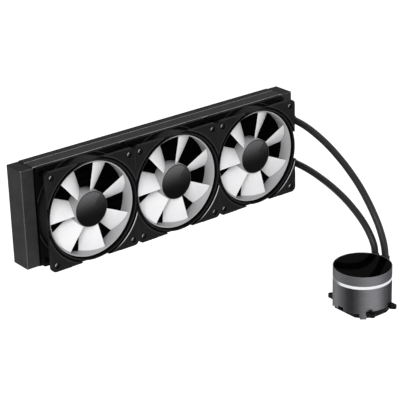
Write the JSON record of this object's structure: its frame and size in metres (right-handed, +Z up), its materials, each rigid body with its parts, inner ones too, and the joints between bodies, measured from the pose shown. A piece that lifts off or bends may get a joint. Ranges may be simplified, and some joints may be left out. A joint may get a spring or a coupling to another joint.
{
  "type": "all in one liquid cooler",
  "caption": "Liquid cooler for a computer processor: a long radiator with ringed fans, two hoses, and a round pump block with a light ring and a mirror top.",
  "frame": {"origin": "centre of the radiator's back face, where the case screws go in, in the middle of the central screw pattern", "axes": "+X along the radiator towards the hoses, +Y out of the radiator's back, away from the fans, +Z up"},
  "size_m": [0.392, 0.2606, 0.2012],
  "materials": {
    "radiator_paint": "satin",
    "core_paint": "matte",
    "fitting_metal": "satin",
    "ferrule_black": "satin",
    "screw_black": "satin",
    "board_green": "satin",
    "fan_plastic": "matte",
    "impeller_white": "satin",
    "cap_black": "satin",
    "steel": "satin",
    "magnet": "matte",
    "bronze": "matte",
    "winding": "satin",
    "hose_rubber": "satin",
    "seal_rubber": "matte",
    "gunmetal": "brushed",
    "glow_white": "glowing",
    "gloss_black": "mirror",
    "dark_plastic": "matte",
    "rotor_white": "satin",
    "bracket_black": "satin",
    "elbow_black": "satin",
    "copper": "machined"
  },
  "bodies": {
    "cooler": {"left_tank": "radiator_paint", "right_tank": "radiator_paint", "top_rail": "radiator_paint", "bottom_rail": "radiator_paint", "flat_tubes": "core_paint", "fin_strips": "core_paint", "left_header": "core_paint", "right_header": "core_paint", "inlet_barb": "fitting_metal", "outlet_barb": "fitting_metal", "pump_shaft": "fitting_metal", "plate_screws": "fitting_metal", "hose_ferrules": "ferrule_black", "fan_screws": "screw_black", "fan_boards": "board_green", "pump_board": "board_green", "left_fan_frame": "fan_plastic", "left_fan_bearing": "bronze", "left_fan_stator": "winding", "middle_fan_frame": "fan_plastic", "middle_fan_bearing": "bronze", "middle_fan_stator": "winding", "right_fan_frame": "fan_plastic", "right_fan_bearing": "bronze", "right_fan_stator": "winding", "pump_stator": "winding", "upper_hose": "hose_rubber", "lower_hose": "hose_rubber", "elbow_seals": "seal_rubber", "plate_gasket": "seal_rubber", "pump_sleeve": "gunmetal", "crown_ring": "gunmetal", "light_ring": "glow_white", "top_disc": "gloss_black", "pump_body": "dark_plastic", "base_frame": "dark_plastic", "chamber_plate": "dark_plastic", "connector_socket": "dark_plastic", "front_bracket": "bracket_black", "rear_bracket": "bracket_black", "inlet_elbow": "elbow_black", "outlet_elbow": "elbow_black", "cold_plate": "copper"},
    "left_rotor": {"left_impeller": "impeller_white", "left_hub_cap": "cap_black", "left_rotor_yoke": "steel", "left_rotor_magnet": "magnet", "left_fan_shaft": "steel"},
    "middle_rotor": {"middle_impeller": "impeller_white", "middle_hub_cap": "cap_black", "middle_rotor_yoke": "steel", "middle_rotor_magnet": "magnet", "middle_fan_shaft": "steel"},
    "right_rotor": {"right_impeller": "impeller_white", "right_hub_cap": "cap_black", "right_rotor_yoke": "steel", "right_rotor_magnet": "magnet", "right_fan_shaft": "steel"},
    "pump_rotor": {"pump_impeller": "rotor_white"}
  },
  "joints": [
    {"name": "left_fan_spin", "type": "hinge", "parent": "cooler", "child": "left_rotor", "pos_m": [-0.12, -0.04, 0], "axis": [0, -1, 0], "continuous": true},
    {"name": "middle_fan_spin", "type": "hinge", "parent": "cooler", "child": "middle_rotor", "pos_m": [0, -0.04, 0], "axis": [0, -1, 0], "continuous": true},
    {"name": "right_fan_spin", "type": "hinge", "parent": "cooler", "child": "right_rotor", "pos_m": [0.12, -0.04, 0], "axis": [0, -1, 0], "continuous": true},
    {"name": "pump_spin", "type": "hinge", "parent": "cooler", "child": "pump_rotor", "pos_m": [0.134, -0.2225, -0.1212], "axis": [0, 0, 1], "continuous": true}
  ]
}
